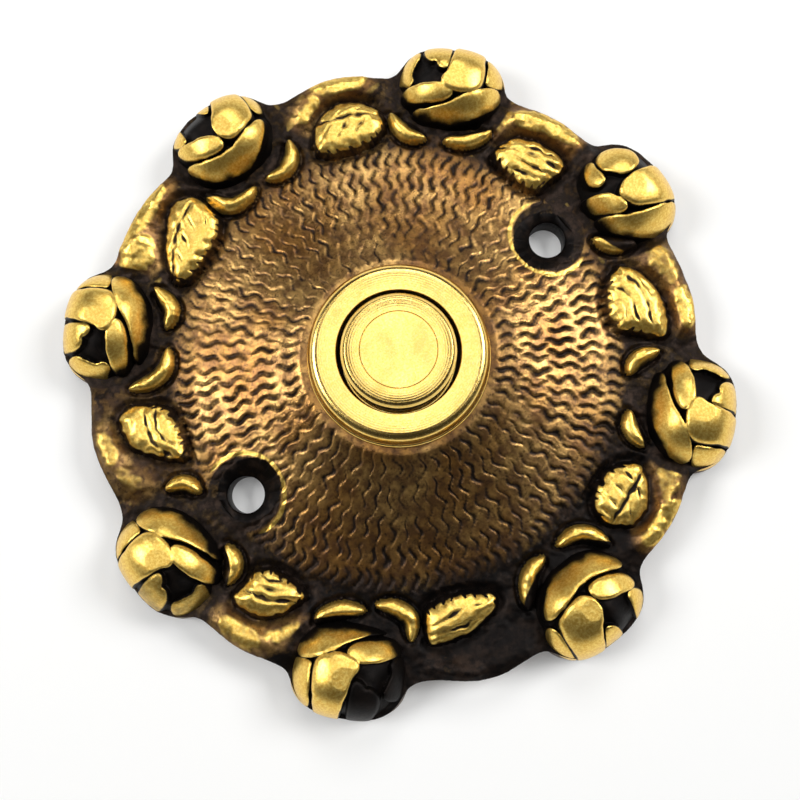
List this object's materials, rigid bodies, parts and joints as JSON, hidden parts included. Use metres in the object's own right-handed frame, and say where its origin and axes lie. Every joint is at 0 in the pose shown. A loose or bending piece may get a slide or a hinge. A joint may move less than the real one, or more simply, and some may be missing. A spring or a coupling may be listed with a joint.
{
  "type": "bell push",
  "caption": "Round cast brass doorbell push with a garland of roses round a dished plate, two countersunk screw holes, a turned bezel and a sprung round button.",
  "frame": {"origin": "centre of the back plane, which lies on the wall", "axes": "+Z out of the front along the button's axis, X through the two screw holes"},
  "size_m": [0.0776, 0.0783, 0.0125],
  "materials": {
    "cast_brass": "cast, dark brown patina with polished high spots",
    "turned_brass": "turned and lacquered, aged",
    "polished_brass": "turned and polished",
    "plain_brass": "machined",
    "spring_bronze": "rolled strip",
    "contact_metal": "silver contact faces",
    "steel": "spring steel",
    "insulation": "moulded, dark brown"
  },
  "bodies": {
    "housing": {"rose_plate": "cast_brass", "bezel": "turned_brass", "return_spring": "spring_bronze", "contact_base": "insulation", "contact_plate_left": "plain_brass", "contact_plate_right": "plain_brass", "contact_tip_left": "contact_metal", "contact_tip_right": "contact_metal", "terminal_screw_left": "plain_brass", "terminal_screw_right": "plain_brass", "base_retaining_ring": "steel", "lock_washer": "plain_brass", "lock_nut": "plain_brass"},
    "button": {"push_button": "polished_brass", "stem_bush": "insulation", "contact_bridge": "spring_bronze", "bridge_tip_left": "contact_metal", "bridge_tip_right": "contact_metal", "bridge_washer": "insulation", "stem_clip": "steel"}
  },
  "joints": [
    {"name": "button_press", "type": "slide", "parent": "housing", "child": "button", "axis": [0, 0, -1], "range_m": [0, 0.0014], "stiffness_N_per_m": 500, "springref_m": -0.002, "deforming": ["return_spring"]}
  ]
}
